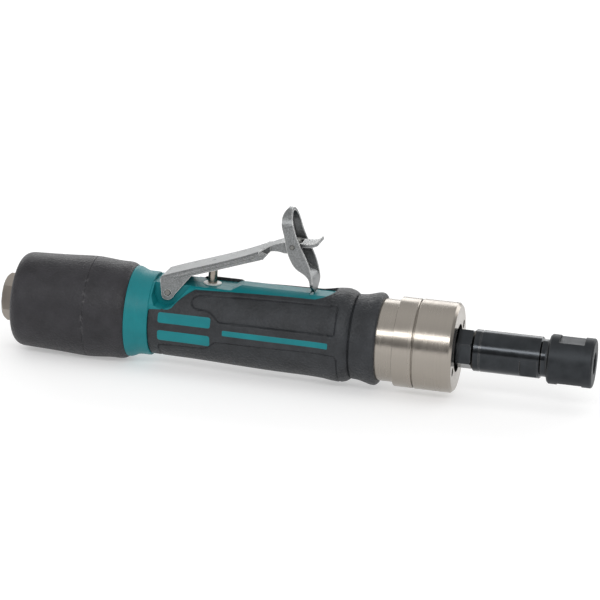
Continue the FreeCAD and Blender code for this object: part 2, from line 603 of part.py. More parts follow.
def make_lock_lever():
    side = [LOCK_REAR, [LOCK_REAR[-1], LOCK_FRONT[0]], LOCK_FRONT]
    outer = plate(side, -LOCK_HALF_WIDTH, LOCK_HALF_WIDTH).common(
        round_top(LOCK_HALF_WIDTH, LOCK_TOP))
    hollow = plate(side, -LOCK_HALF_WIDTH, LOCK_HALF_WIDTH)
    hollow.translate(Vector(LOCK_SHEET + 0.1, 0, 0))
    front = plate([[(x + LOCK_SHEET, z) for x, z in LOCK_REAR],
                   [(LOCK_REAR[-1][0] + LOCK_SHEET, LOCK_FOOT), (30, LOCK_FOOT)],
                   [(30, LOCK_FOOT), (30, 17.0)], [(30, 17.0), (LOCK_REAR[0][0] + LOCK_SHEET, 17.0)]],
                  -LOCK_HALF_WIDTH, LOCK_HALF_WIDTH)
    hollow = hollow.fuse(front).common(
        round_top(LOCK_HALF_WIDTH - LOCK_SHEET, LOCK_TOP - LOCK_SHEET))
    shell = outer.cut(hollow)
    shell = shell.common(shield_front())
    window = Part.makeBox(14, 11.4, 16.8, Vector(-12, -5.7, -4.6))
    shell = shell.cut(window.cut(Part.makeBox(20, 20, 40, Vector(1.2, -10, -20))))
    shell = shell.cut(Part.makeCylinder(LOCK_PIN_RADIUS + RUN, 40, Vector(0, -20, 0),
                                        Vector(0, 1, 0)))
    shell.translate(at(LOCK_S, 0, LOCK_Z))
    return one(shell)


def make_lock_pin():
    pin = crossbar(LOCK_S, LOCK_Z, LOCK_HALF_WIDTH + 0.1, LOCK_PIN_RADIUS)
    for side in (1, -1):
        base = Vector(-LOCK_S, side * (LOCK_HALF_WIDTH + 0.05), LOCK_Z)
        pin = pin.fuse(Part.makeCone(LOCK_HEAD_RADIUS, LOCK_HEAD_RADIUS - 0.4, 0.5, base,
                                     Vector(0, side, 0)))
    return one(pin)


def make_lock_spring():
    wire_radius, mean_radius, length = 0.4, 1.75, 5.6
    helix = Part.makeHelix(1.12, length, mean_radius)
    profile = Part.Wire(Part.makeCircle(wire_radius, Vector(mean_radius, 0, 0), Vector(0, 1, 0)))
    spring = Part.Wire(helix).makePipeShell([profile], True, True)
    spring.rotate(Vector(), AXIS, -90)
    spring.translate(at(LOCK_S, -length / 2, LOCK_Z))
    return spring


def make_lever_pin():
    pin = crossbar(PIVOT_S, PIVOT_Z, LEVER_HALF_WIDTH + 0.45, PIVOT_PIN_RADIUS)
    ends = [e for e in pin.Edges if isinstance(e.Curve, Part.Circle)]
    return pin.makeChamfer(0.35, ends)


# ---- vane motor ---------------------------------------------------------------------------

def make_cylinder():
    cylinder = tube(*CYLINDER_SPAN, CYLINDER_RADIUS)
    cylinder = cylinder.cut(tube(*CYLINDER_SPAN, CYLINDER_BORE_RADIUS, z=-ECCENTRICITY))
    for station in (132.0, 136.0, 140.0, 144.0, 148.0):
        port = Part.makeCylinder(1.2, 20, at(station, 0, 0), Vector(0, 0, -1))
        cylinder = cylinder.cut(port)
    return cylinder.cut(dowel_hole())


def dowel_hole():
    return tube(119.5, 163.0, 1.1, z=13.7)


def make_front_plate():
    return tube(*FRONT_PLATE, CYLINDER_RADIUS, STUB_RADIUS + RUN).cut(dowel_hole())


def make_rear_plate():
    disc = tube(*REAR_PLATE, CYLINDER_RADIUS, 5.4).cut(tube(158.2, 166.0, 11.0))
    disc = disc.cut(tube(156.0, 159.0, 1.6, y=8.2, z=-8.2))
    return disc.cut(dowel_hole())


def make_rotor():
    rotor = tube(124.0, 156.0, ROTOR_RADIUS, 5.0)
    for slot in around(block(123, 157, -BLADE_THICKNESS / 2, BLADE_THICKNESS / 2, BLADE_ROOT, 13),
                       BLADE_COUNT, 45):
        rotor = rotor.cut(slot)
    return rotor


def make_blades():
    half = BLADE_THICKNESS / 2 - 0.04
    blade = block(124.1, 155.9, -half, half, BLADE_ROOT + 0.1, ROTOR_RADIUS - 0.03)
    return group(around(blade, BLADE_COUNT, 45))


def make_bearing(front, rear, bore, outer, balls, ball_radius):
    """Outer ring, inner ring, balls and cage of a deep-groove ball bearing."""
    middle = (front + rear) / 2
    pitch = (bore + outer) / 2
    groove = Part.makeTorus(pitch, ball_radius + 0.04, at(middle), AXIS)
    outer_ring = tube(front, rear, outer, pitch + ball_radius * 0.55).cut(groove)
    inner_ring = tube(front, rear, pitch - ball_radius * 0.55, bore).cut(groove)
    ball = Part.makeSphere(ball_radius, at(middle, 0, pitch))
    cage = tube(middle - ball_radius * 0.4, middle + ball_radius * 1.4,
                pitch + ball_radius * 0.4, pitch - ball_radius * 0.4)
    for pocket in around(Part.makeSphere(ball_radius + 0.05, at(middle, 0, pitch)), balls):
        cage = cage.cut(pocket)
    return outer_ring, inner_ring, group(around(ball, balls)), cage


# ---- all nodes ----------------------------------------------------------------------------

front_bearing = make_bearing(84.0, 92.0, 6.0, 14.0, 8, 2.38)
rear_bearing = make_bearing(158.2, 165.2, 4.0, 11.0, 7, 1.98)

NODES = {
    "inlet_bushing": make_inlet_bushing(),
    "inlet_screen": make_inlet_screen(),
    "exhaust_boot": make_boot(),
    "exhaust_felt": tube(236.0, 252.0, 18.55, INLET_TUBE_RADIUS),
    "housing": make_housing(),
    "grip_sleeve": make_grip(),
    "front_collar": make_front_collar(),
    "motor_sleeve": make_motor_sleeve(),
    "front_cap": make_front_cap(),
    "dust_seal": tube(70.0, 76.0, 12.0, 7.9 + RUN),
    "preload_washer": tube(83.0, 84.0, 13.9, 11.3),
    "front_bearing_outer": front_bearing[0],
    "front_bearing_inner": front_bearing[1],
    "front_bearing_balls": front_bearing[2],
    "front_bearing_cage": front_bearing[3],
    "bearing_clip": tube(92.0, 93.2, 7.6, 5.4),
    "front_plate": make_front_plate(),
    "motor_cylinder": make_cylinder(),
    "rear_plate": make_rear_plate(),
    "rear_bearing_outer": rear_bearing[0],
    "rear_bearing_inner": rear_bearing[1],
    "rear_bearing_balls": rear_bearing[2],
    "rear_bearing_cage": rear_bearing[3],
    "motor_dowel": tube(119.6, 162.8, 1.1, z=13.7),
    "plate_gasket": tube(166.0, GASKET_REAR, 15.2, 11.4),
    "rotor": make_rotor(),
    "rotor_blades": make_blades(),
    "spindle": make_spindle(),
    "collet_body": make_collet_body(),
    "collet": make_collet(),
    "collet_nut": make_collet_nut(),
    "stem_bushing": make_stem_bushing(),
    "stem_o_ring": make_stem_o_ring(),
    "valve_stem": make_valve_stem(),
    "valve_seat": make_valve_seat(),
    "valve_poppet": make_valve_poppet(),
    "valve_spring": make_valve_spring(),
    "lever_pin": make_lever_pin(),
    "throttle_lever": make_throttle_lever(),
    "lock_lever": make_lock_lever(),
    "lock_pin": make_lock_pin(),
    "lock_spring": make_lock_spring(),
}

os.makedirs("parts", exist_ok=True)
for name, shape in NODES.items():
    if not shape.isValid() or not shape.Solids:
        print("not a valid solid:", name)
    print(f"{name}: {len(shape.Solids)} solid(s), {shape.Volume:.0f} mm3")
    shape.exportStep(f"parts/{name}.step")
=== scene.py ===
import json
import math

import bmesh
import bpy
import numpy as np
from mathutils import Matrix, Vector


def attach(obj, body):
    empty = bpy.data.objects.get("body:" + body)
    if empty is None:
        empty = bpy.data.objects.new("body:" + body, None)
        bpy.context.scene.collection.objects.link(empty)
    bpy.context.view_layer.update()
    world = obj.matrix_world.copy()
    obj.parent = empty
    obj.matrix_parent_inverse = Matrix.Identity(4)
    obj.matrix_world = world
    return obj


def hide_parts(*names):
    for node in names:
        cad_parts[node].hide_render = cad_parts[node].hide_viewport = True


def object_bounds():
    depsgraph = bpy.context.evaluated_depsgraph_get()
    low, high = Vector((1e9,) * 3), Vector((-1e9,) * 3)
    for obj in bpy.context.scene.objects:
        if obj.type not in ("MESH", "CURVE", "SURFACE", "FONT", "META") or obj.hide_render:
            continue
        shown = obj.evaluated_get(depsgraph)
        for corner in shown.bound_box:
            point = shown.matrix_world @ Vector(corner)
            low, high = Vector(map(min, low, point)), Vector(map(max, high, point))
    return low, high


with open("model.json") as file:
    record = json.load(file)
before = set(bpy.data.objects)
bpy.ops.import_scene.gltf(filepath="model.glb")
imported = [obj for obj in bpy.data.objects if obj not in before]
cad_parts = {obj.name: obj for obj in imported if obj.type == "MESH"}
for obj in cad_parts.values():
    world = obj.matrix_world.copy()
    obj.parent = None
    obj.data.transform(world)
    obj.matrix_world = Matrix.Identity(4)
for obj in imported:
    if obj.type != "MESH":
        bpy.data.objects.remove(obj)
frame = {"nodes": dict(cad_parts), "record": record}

CAD_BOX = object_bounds()
MM = 0.001

# ---- camera and studio --------------------------------------------------------------------

VIEW_AZIMUTH = math.radians(11.3)      # towards +X from the -Y side
VIEW_ELEVATION = math.radians(15.7)
VIEW_ROLL = math.radians(3.4)
VIEW_DISTANCE = 1.564
VIEW_WIDTH = 0.273                     # what the frame spans at that distance
AIM_STATION = -0.134                   # X of the point on the tool's axis under the view's centre
AIM_ABOVE_AXIS = 0.0135
SENSOR = 36.0
VIEW_REACH = 20                        # nothing farther than this is drawn
MIDDLE = Vector((AIM_STATION, 0, 0))

# name, azimuth and elevation in degrees, distance, width and height, radiance
SOFTBOXES = [("key_softbox", 11, 34.5, 1.3, (1.8, 0.25), 5.9),
             ("back_softbox", 180, 23, 1.2, (2.4, 0.55), 2.3),
             ("left_fill", -78, 22, 1.2, (0.5, 0.6), 1.4)]
FLOOR_SIZE = 12
FLOOR_CENTRE_X = -0.13
FLOOR_GAP = 0.0001                     # the floor lies this far under the tool
FLOOR_TONE = (0.72, 0.72, 0.72, 1)
FLOOR_GLOW = 0.36
HORIZON_LIGHT = 0.18                   # strength of the surroundings, dimmer low down
ZENITH_LIGHT = 0.84


def view_axes():
    """Unit vectors to the camera, to its right and up."""
    back = Vector((math.sin(VIEW_AZIMUTH) * math.cos(VIEW_ELEVATION),
                   -math.cos(VIEW_AZIMUTH) * math.cos(VIEW_ELEVATION),
                   math.sin(VIEW_ELEVATION)))
    right = Vector((0, 0, 1)).cross(back).normalized()
    up = back.cross(right)
    roll = Matrix.Rotation(VIEW_ROLL, 3, back)
    return back, roll @ right, roll @ up


def make_camera():
    """The scene's camera, tilted by VIEW_ROLL about the line of sight."""
    back, right, up = view_axes()
    data = bpy.data.cameras.new("studio_camera")
    data.sensor_width = SENSOR
    data.lens = SENSOR * VIEW_DISTANCE / VIEW_WIDTH
    data.clip_end = VIEW_REACH
    camera = bpy.data.objects.new("studio_camera", data)
    bpy.context.scene.collection.objects.link(camera)
    place = Matrix((right, up, back)).transposed().to_4x4()
    place.translation = MIDDLE + back * VIEW_DISTANCE + up * AIM_ABOVE_AXIS
    camera.matrix_world = place
    bpy.context.scene.camera = camera


def softbox(name, azimuth, elevation, distance, size, radiance):
    """A soft light seen from the tool in one direction; azimuth 0 is the -Y side, 180 the +Y side."""
    turn, rise = math.radians(azimuth), math.radians(elevation)
    towards = Vector((math.sin(turn) * math.cos(rise), -math.cos(turn) * math.cos(rise),
                      math.sin(rise)))
    data = bpy.data.lights.new(name, "AREA")
    data.shape = "RECTANGLE"
    data.size, data.size_y = size
    data.energy = radiance * math.pi * size[0] * size[1]
    light = bpy.data.objects.new(name, data)
    bpy.context.scene.collection.objects.link(light)
    light.location = MIDDLE + towards * distance
    light.rotation_euler = (-towards).to_track_quat("-Z", "Y").to_euler()


def make_studio():
    """Soft lights, surroundings that grow brighter upwards, and a pale floor under the tool."""
    bpy.context.scene.view_settings.view_transform = "Standard"
    for row in SOFTBOXES:
        softbox(*row)
    world = bpy.data.worlds.new("studio_world")
    bpy.context.scene.world = world
    world.use_nodes = True
    tree = world.node_tree
    background = tree.nodes["Background"]
    background.inputs["Color"].default_value = (1, 1, 1, 1)
    coords = tree.nodes.new("ShaderNodeTexCoord")
    split = tree.nodes.new("ShaderNodeSeparateXYZ")
    rise = tree.nodes.new("ShaderNodeMapRange")
    tree.links.new(coords.outputs["Generated"], split.inputs[0])
    tree.links.new(split.outputs["Z"], rise.inputs["Value"])
    rise.inputs["To Min"].default_value = HORIZON_LIGHT
    rise.inputs["To Max"].default_value = ZENITH_LIGHT
    tree.links.new(rise.outputs[0], background.inputs["Strength"])
    low = CAD_BOX[0][2]
    bpy.ops.mesh.primitive_plane_add(size=FLOOR_SIZE, location=(FLOOR_CENTRE_X, 0, low - FLOOR_GAP))
    floor = bpy.context.object
    floor.name = "studio_floor"
    floor.data.materials.append(plain_floor())


def plain_floor():
    """White paper that glows a little, so that the floor stays pale in the tool's shadow."""
    material, build = new_material("floor_paper")
    build.shader(base=FLOOR_TONE, rough=0.9, specular=0.1)
    build.set("Emission Color", (1, 1, 1, 1))
    build.set("Emission Strength", FLOOR_GLOW)
    return material


# ---- material helpers ---------------------------------------------------------------------

class Build:
    """Small helper that wires shader nodes for one material."""

    def __init__(self, material):
        self.tree = material.node_tree
        self.tree.nodes.clear()
        self.out = self.tree.nodes.new("ShaderNodeOutputMaterial")
        self.bsdf = self.tree.nodes.new("ShaderNodeBsdfPrincipled")
        self.link(self.bsdf.outputs[0], self.out.inputs[0])

    def link(self, source, target):
        self.tree.links.new(source, target)

    def set(self, socket, value):
        target = self.bsdf.inputs[socket]
        if hasattr(value, "is_output"):
            self.link(value, target)
        else:
            target.default_value = value

    def shader(self, base, rough, metal=0.0, specular=0.5, **more):
        self.set("Base Color", base)
        self.set("Roughness", rough)
        self.set("Metallic", metal)
        self.set("Specular IOR Level", specular)
        for socket, value in more.items():
            self.set(socket.replace("_", " "), value)

    def node(self, kind, **settings):
        made = self.tree.nodes.new(kind)
        for key, value in settings.items():
            if key in made.inputs.keys():
                self.feed(made.inputs[key], value)
            else:
                setattr(made, key, value)
        return made

    def feed(self, socket, value):
        if hasattr(value, "is_output"):
            self.link(value, socket)
        else:
            socket.default_value = value

    def place(self, scale=(1, 1, 1)):
        """Object coordinates, which are the part's own frame in metres."""
        coords = self.node("ShaderNodeTexCoord")
        mapping = self.node("ShaderNodeMapping", Scale=scale)
        self.link(coords.outputs["Object"], mapping.inputs["Vector"])
        return mapping.outputs[0]

    def noise(self, scale, detail=3.0, rough=0.5, vector=None):
        made = self.node("ShaderNodeTexNoise", Scale=scale, Detail=detail, Roughness=rough)
        self.link(vector if vector is not None else self.place(), made.inputs["Vector"])
        return made.outputs["Fac"]

    def math(self, operation, a, b=0.0):
        made = self.node("ShaderNodeMath", operation=operation)
        for socket, value in zip(made.inputs, (a, b)):
            self.feed(socket, value)
        return made.outputs[0]

    def ramp(self, fac, low, high, start=0.0, end=1.0):
        """A value between low and high, as fac goes from start to end."""
        made = self.node("ShaderNodeMapRange")
        self.feed(made.inputs["Value"], fac)
        for socket, value in zip(("From Min", "From Max", "To Min", "To Max"),
                                 (start, end, low, high)):
            made.inputs[socket].default_value = value
        return made.outputs[0]

    def spread(self, noise, low=0.0, high=1.0):
        """A noise texture's value, stretched to run from low to high."""
        return self.ramp(noise, low, high, *NOISE_SPREAD)

    def blend(self, fac, a, b):
        """A colour between a and b."""
        made = self.node("ShaderNodeMix", data_type="RGBA")
        self.feed(made.inputs[0], fac)
        self.feed(made.inputs[6], a)
        self.feed(made.inputs[7], b)
        return made.outputs[2]

    def bump(self, height, distance, strength=1.0):
        made = self.node("ShaderNodeBump", Strength=strength, Distance=distance)
        self.link(height, made.inputs["Height"])
        return made.outputs[0]

    def split_place(self):
        """Object coordinates, split into X, Y and Z."""
        split = self.node("ShaderNodeSeparateXYZ")
        self.link(self.place(), split.inputs[0])
        return split

    def rings(self):
        """A coordinate that varies along the axis and with the radius, not round the tool."""
        split = self.split_place()
        y2 = self.math("MULTIPLY", split.outputs["Y"], split.outputs["Y"])
        z2 = self.math("MULTIPLY", split.outputs["Z"], split.outputs["Z"])
        radius = self.math("SQRT", self.math("ADD", y2, z2))
        joined = self.node("ShaderNodeCombineXYZ")
        self.link(split.outputs["X"], joined.inputs["X"])
        self.link(radius, joined.inputs["Y"])
        return joined.outputs[0]

    def convex_edges(self, width):
        """1 on convex edges, 0 elsewhere, from the difference to a bevelled normal."""
        bevel = self.node("ShaderNodeBevel", samples=4, Radius=width)
        geometry = self.node("ShaderNodeNewGeometry")
        dot = self.node("ShaderNodeVectorMath", operation="DOT_PRODUCT")
        self.link(bevel.outputs[0], dot.inputs[0])
        self.link(geometry.outputs["Normal"], dot.inputs[1])
        return self.ramp(dot.outputs["Value"], 1.0, 0.0, *EDGE_COSINES)


def new_material(name):
    """An empty material and the helper that wires it."""
    material = bpy.data.materials.new(name)
    material.use_nodes = True
    return material, Build(material)


# ---- materials ----------------------------------------------------------------------------

NOISE_SPREAD = (0.3, 0.7)              # where a noise texture's values mostly lie
EDGE_COSINES = (0.75, 0.98)            # bevelled against true normal: fully on an edge, and not at all
BOOT_PARTING = -0.2308                 # X of the boot's parting line
PARTING_REACH = (0.0003, 0.0012)       # its scuffs fade out between these distances from it
NUT_END = (-0.0208, -0.0198)           # X where the gloss of the barrel gives way to the nut's
NUT_SATIN = 0.34                       # how much rougher the nut is
DUST = (0.16, 0.155, 0.16, 1)
SCUFF = (0.09, 0.087, 0.092, 1)
TEAL_DEEP = (0.001, 0.158, 0.18, 1)
TEAL_PALE = (0.0015, 0.19, 0.212, 1)
OXIDE_EDGE = (0.14, 0.138, 0.136, 1)   # steel that shows through the black
POLISHED_EDGE_AND_HIGHLIGHT = (0.93, 0.93, 0.91, 1)   # plating that handling has polished, made brighter still as a painted edge highlight


def shade(colour, factor):
    """A colour made darker or lighter, with its alpha."""
    return tuple(c * factor for c in colour[:3]) + (1,)


def rubber(name, colour, grain, depth, rough, parting=None):
    """Moulded rubber: fine grain, soft blotches, a few pale specks of dust, and light scuffs
    along a parting line at one X."""
    material, b = new_material(name)
    blotch = b.noise(scale=120, detail=4, rough=0.6)
    fine = b.noise(scale=grain, detail=4, rough=0.65)
    cells = b.node("ShaderNodeTexVoronoi", Scale=grain * 0.55)
    b.link(b.place(), cells.inputs["Vector"])
    specks = b.ramp(b.noise(scale=2100, detail=2), 0.0, 1.0, 0.69, 0.78)
    base = b.blend(b.spread(blotch), shade(colour, 0.72), shade(colour, 1.35))
    base = b.blend(b.math("MULTIPLY", specks, 0.3), base, DUST)
    if parting:
        away = b.math("ABSOLUTE", b.math("SUBTRACT", b.split_place().outputs["X"], parting))
        near = b.ramp(away, 1.0, 0.0, *PARTING_REACH)
        patchy = b.ramp(b.noise(scale=420, rough=0.7), 0.0, 0.7, 0.5, 0.64)
        base = b.blend(b.math("MULTIPLY", near, patchy), base, SCUFF)
    b.shader(base=base, rough=b.spread(fine, rough - 0.12, rough + 0.12), specular=0.32)
    height = b.math("ADD", fine, b.math("MULTIPLY", cells.outputs["Distance"], 0.8))
    b.set("Normal", b.bump(height, depth))
    return material


def teal():
    """Moulded composite with a faint cloudiness and a fine matt texture."""
    material, b = new_material("teal_nylon")
    fine = b.noise(scale=2300, detail=4, rough=0.6)
    broad = b.noise(scale=90, rough=0.6)
    colour = b.blend(b.spread(broad), TEAL_DEEP, TEAL_PALE)
    b.shader(base=colour, rough=b.spread(fine, 0.36, 0.56), specular=0.33)
    b.set("Normal", b.bump(fine, distance=0.00005, strength=0.7))
    return material


def turned_steel(name, colour, rough):
    """Steel with fine rings from turning."""
    material, b = new_material(name)
    rings = b.rings()
    lines = b.noise(scale=9000, detail=2, rough=0.7, vector=rings)
    bands = b.noise(scale=700, detail=2, vector=rings)
    smudge = b.noise(scale=80)
    base = b.blend(b.spread(lines), shade(colour, 0.9), colour)
    roughness = b.math("ADD", b.spread(bands, rough - 0.03, rough + 0.04),
                       b.spread(smudge, -0.03, 0.04))
    b.shader(base=base, rough=roughness, metal=1.0, Anisotropic=0.35)
    b.set("Normal", b.bump(lines, distance=0.000006, strength=0.4))
    return material


def black_oxide(name, rough, tone):
    """Steel with a black oxide finish, thin on its edges and satin on the nut."""
    material, b = new_material(name)
    lines = b.noise(scale=6000, detail=2, rough=0.6, vector=b.rings())
    smudge = b.noise(scale=160, detail=4, rough=0.6)
    base = b.blend(b.spread(smudge), shade(tone, 0.8), shade(tone, 1.2))
    base = b.blend(b.convex_edges(width=0.0004), base, OXIDE_EDGE)
    satin = b.ramp(b.split_place().outputs["X"], 0.0, NUT_SATIN, *NUT_END)
    roughness = b.math("ADD", b.spread(smudge, rough - 0.05, rough + 0.08), satin)
    b.shader(base=base, rough=roughness, metal=1.0)
    b.set("Normal", b.bump(lines, distance=0.00001, strength=0.4))
    return material


def plated_sheet(name, colour, rough):
    """Stamped sheet with a dull plating: rolling lines, dark and light specks, painted shade
    darkening its creases, and bright edges that are polished plating with a painted highlight."""
    material, b = new_material(name)
    lines = b.noise(scale=300, rough=0.6, vector=b.place(scale=(0.6, 14, 14)))
    specks = b.noise(scale=1500, rough=0.75)
    blotch = b.noise(scale=260, detail=4, rough=0.6)
    edge = b.convex_edges(width=0.00055)
    base = b.blend(b.ramp(specks, 0.0, 1.0, 0.36, 0.64), shade(colour, 0.62), shade(colour, 1.45))
    base = b.blend(b.spread(blotch, 0.0, 0.5), base, colour)
    # Painted shade: where ambient occlusion finds a crease or corner, the colour is mixed towards a
    # quarter of its brightness.
    crease = b.node("ShaderNodeAmbientOcclusion", samples=6, Distance=0.003)
    painted_crease_shade = b.ramp(crease.outputs["AO"], 0.75, 0.0, 0.35, 0.9)
    base = b.blend(painted_crease_shade, base, shade(colour, 0.25))
    # Polished plating on convex edges, brightened further as a painted highlight.
    base = b.blend(b.math("MULTIPLY", edge, 0.85), base, POLISHED_EDGE_AND_HIGHLIGHT)
    b.shader(base=base, rough=b.spread(specks, rough - 0.1, rough + 0.12), metal=1.0)
    b.set("Normal", b.bump(b.math("ADD", lines, specks), distance=0.00004, strength=0.6))
    return material


def simple(name, colour, rough, metal=0.0, grain=1500, depth=0.00002):
    """A plain solid material with a fine grain, for small and inner pieces."""
    material, b = new_material(name)
    fine = b.noise(scale=grain)
    b.shader(base=b.blend(fine, shade(colour, 0.85), colour),
             rough=b.ramp(fine, rough - 0.06, rough + 0.06), metal=metal)
    b.set("Normal", b.bump(fine, depth, strength=0.5))
    return material


def make_materials():
    """Every material by the name of its slot."""
    return {
        "teal_composite": teal(),
        "boot_rubber": rubber("boot_rubber", (0.0222, 0.0213, 0.0246, 1), 1700, 0.00015, 0.46,
                              parting=BOOT_PARTING),
        "grip_rubber": rubber("grip_rubber", (0.0235, 0.0255, 0.0288, 1), 1250, 0.00026, 0.46),
        "front_steel": turned_steel("front_steel", (0.375, 0.343, 0.304, 1), 0.24),
        "black_oxide": black_oxide("black_oxide", 0.17, (0.043, 0.0465, 0.0505)),
        "lever_steel": plated_sheet("lever_steel", (0.222, 0.229, 0.231, 1), 0.4),
        "inlet_steel": turned_steel("inlet_steel", (0.32, 0.285, 0.25, 1), 0.36),
        "bearing_steel": simple("bearing_steel", (0.34, 0.3, 0.26, 1), 0.22, 1.0),
        "spring_steel": simple("spring_steel", (0.2, 0.2, 0.19, 1), 0.28, 1.0),
        "motor_iron": simple("motor_iron", (0.35, 0.35, 0.35, 1), 0.42, 1.0),
        "nylon_white": simple("nylon_white", (0.82, 0.82, 0.78, 1), 0.4),
        "seal_rubber": simple("seal_rubber", (0.02, 0.02, 0.02, 1), 0.5),
        "blade_phenolic": simple("blade_phenolic", (0.24, 0.13, 0.06, 1), 0.5),
        "grey_felt": simple("grey_felt", (0.3, 0.29, 0.27, 1), 0.95, grain=3000, depth=0.0002),
        "gasket_fibre": simple("gasket_fibre", (0.28, 0.2, 0.12, 1), 0.8),
    }


def finish_nodes(materials):
    """Give every CAD node the material of its slot."""
    slots = {row["node"]: row["material_slot"] for row in frame["record"]["subparts"]}
    for node, obj in frame["nodes"].items():
        obj.data.materials.clear()
        obj.data.materials.append(materials[slots[node]])


# ---- detailed pieces ----------------------------------------------------------------------
# Stations are millimetres behind the collet's front face; angles round the tool are degrees
# from +Z towards the -Y side.

GRIP_FRONT = 107.9
GRIP_REAR = 201.3
GRIP_PROFILE = [(GRIP_FRONT, 18.55), (108.28, 18.55), (108.34, 19.3), (108.8, 19.85),
                (110.6, 20.9), (113.2, 21.43), (116.0, 21.28), (120.5, 20.7), (126.6, 20.33),
                (143.0, 20.08), (162.0, 19.48), (180.6, 18.78), (200.7, 18.3), (201.1, 18.15),
                (GRIP_REAR, 17.9)]
GRIP_INSIDE = 17.35
ARC_RADIUS = 19.5                      # turns an angle into a length along the grip
OPENING_FRONT = 117.6
OPENING = [(OPENING_FRONT, 2.4), (118.3, 4.2), (120.0, 6.3), (122.6, 8.2), (126.0, 9.5),
           (181.5, 9.5), (190.5, 16.6), (192.5, 17.0), (GRIP_REAR, 17.0)]    # half widths
LIP_SPAN = (162.2, 183.5)              # the far edge of the opening stands in and up here
LIP_ANGLE = 21.0
LIP_RADIUS = 20.0
LIP_INWARD_ENDS = (1.0, 4.0)           # lengths over which it moves in, and back out at the rear
LIP_UPWARD_ENDS = (1.5, 5.0)           # lengths over which it rises, and falls at the rear
LIP_SLOPE = (1.5, 6.0)                 # it slopes down between these distances from the edge
UPPER_PANEL = [(114.3, 77.0), (168.4, 76.9), (169.4, 73.0), (170.9, 68.4), (172.9, 64.4),
               (175.2, 61.8), (177.4, 62.4), (179.7, 61.4), (181.2, 57.5), (181.7, 52.0),
               (181.3, 45.0), (180.0, 40.6), (177.4, 38.9), (127.0, 37.3), (116.5, 37.0),
               (114.6, 38.6)]
LOWER_PANEL = [(196.3, 180.0), (196.4, 126.0), (195.2, 122.8), (187.4, 121.2), (179.1, 120.7),
               (175.0, 119.6), (172.9, 117.0), (171.2, 111.6), (169.7, 106.8), (163.8, 105.9),
               (146.0, 104.8), (116.8, 102.9), (114.0, 103.6), (112.9, 107.0), (112.9, 180.0)]
# Spans of stations and of angles of the plain bars on each side of the grip.
INLAYS = [((171.8, 196.4), (71.5, 86.5)), ((171.8, 196.4), (97.5, 113.5)),
          ((117.0, 166.0), (87.0, 94.5))]
INLAY_PROUD = 0.1
INLAY_SUNK = 0.6
INLAY_EDGE = 0.25                      # width of the soft edge round a bar
INLAY_CORNER = 0.45                    # rounding of its ends, as a share of its half height
CORNER_REACH = 1.3                     # a corner is rounded only this near to it
DEGREES_PER_MM = 3                     # about what an arc on the grip has
GROOVE_DEPTH = 0.6
GROOVE_HALF_WIDTH = 0.36
EDGE_ROUNDING = 0.35                   # how far the edges beside the opening fall away
EDGE_REACH = 0.5
WELD = 2e-6                            # metres; points nearer than this are joined
NO_LENGTH = 1e-6                       # metres; shorter edges are removed
SHARP_ANGLE = 38.0
END_ROWS = 5                           # rows of points close together at each end of the grip
FAR = 1e9


def smooth_line(points, rounds=3, closed=False):
    """Round the corners of a line of points, over a short reach."""
    ring = points + points[:1] if closed else points
    points = [ring[0]]
    for (a, b), (c, d) in zip(ring, ring[1:]):
        length = math.hypot(c - a, (d - b) / DEGREES_PER_MM)
        if length > 2 * CORNER_REACH:
            part = CORNER_REACH / length
            points += [(a + (c - a) * part, b + (d - b) * part),
                       (c - (c - a) * part, d - (d - b) * part)]
        points.append((c, d))
    if closed:
        points.pop()
    for _ in range(rounds):
        ring = points + points[:1] if closed else points
        cut = [] if closed else [points[0]]
        for (a, b), (c, d) in zip(ring, ring[1:]):
            cut += [(0.75 * a + 0.25 * c, 0.75 * b + 0.25 * d),
                    (0.25 * a + 0.75 * c, 0.25 * b + 0.75 * d)]
        points = cut if closed else cut + [points[-1]]
    return points + points[:1] if closed else points


def distance_to_line(x, y, line):
    """Distance from every point of two arrays to a line of (x, y) points."""
    nearest = np.full(x.shape, FAR)
    for (ax, ay), (bx, by) in zip(line, line[1:]):
        dx, dy = bx - ax, by - ay
        if math.hypot(dx, dy) < 1e-9:
            continue
        along = ((x - ax) * dx + (y - ay) * dy) / (dx * dx + dy * dy)
        along = np.clip(along, 0.0, 1.0)
        nearest = np.minimum(nearest, np.hypot(x - ax - along * dx, y - ay - along * dy))
    return nearest


def smooth_profile(stations, table):
    """A smooth curve through a table of (station, radius) that never overshoots it."""
    xs, ys = (np.array(column) for column in zip(*table))
    slopes = np.diff(ys) / np.diff(xs)
    inner = np.where(slopes[:-1] * slopes[1:] > 0,
                     2 * slopes[:-1] * slopes[1:] / (slopes[:-1] + slopes[1:] + 1e-12), 0.0)
    tangents = np.concatenate(([slopes[0]], inner, [slopes[-1]]))
    i = np.clip(np.searchsorted(xs, stations) - 1, 0, len(xs) - 2)
    h = xs[i + 1] - xs[i]
    t = np.clip((stations - xs[i]) / h, 0.0, 1.0)
    return ((2 * t ** 3 - 3 * t ** 2 + 1) * ys[i] + (t ** 3 - 2 * t ** 2 + t) * h * tangents[i]
            + (3 * t ** 2 - 2 * t ** 3) * ys[i + 1] + (t ** 3 - t ** 2) * h * tangents[i + 1])


def smooth_step(value, low, high):
    """0 below low, 1 above high and an S curve between."""
    t = np.clip((value - low) / (high - low), 0.0, 1.0)
    return t * t * (3 - 2 * t)


def panel_lines():
    """The grooves of the grip as lines of (station, arc), on both sides."""
    lines = []
    upper = smooth_line(UPPER_PANEL, closed=True)
    near = smooth_line(LOWER_PANEL)
    lower = near + [(s, 360.0 - a) for s, a in reversed(near[:-1])]
    for line in (upper, [(s, 360.0 - a) for s, a in upper], lower):
        lines.append([(s, math.radians(a) * ARC_RADIUS) for s, a in line])
    return lines


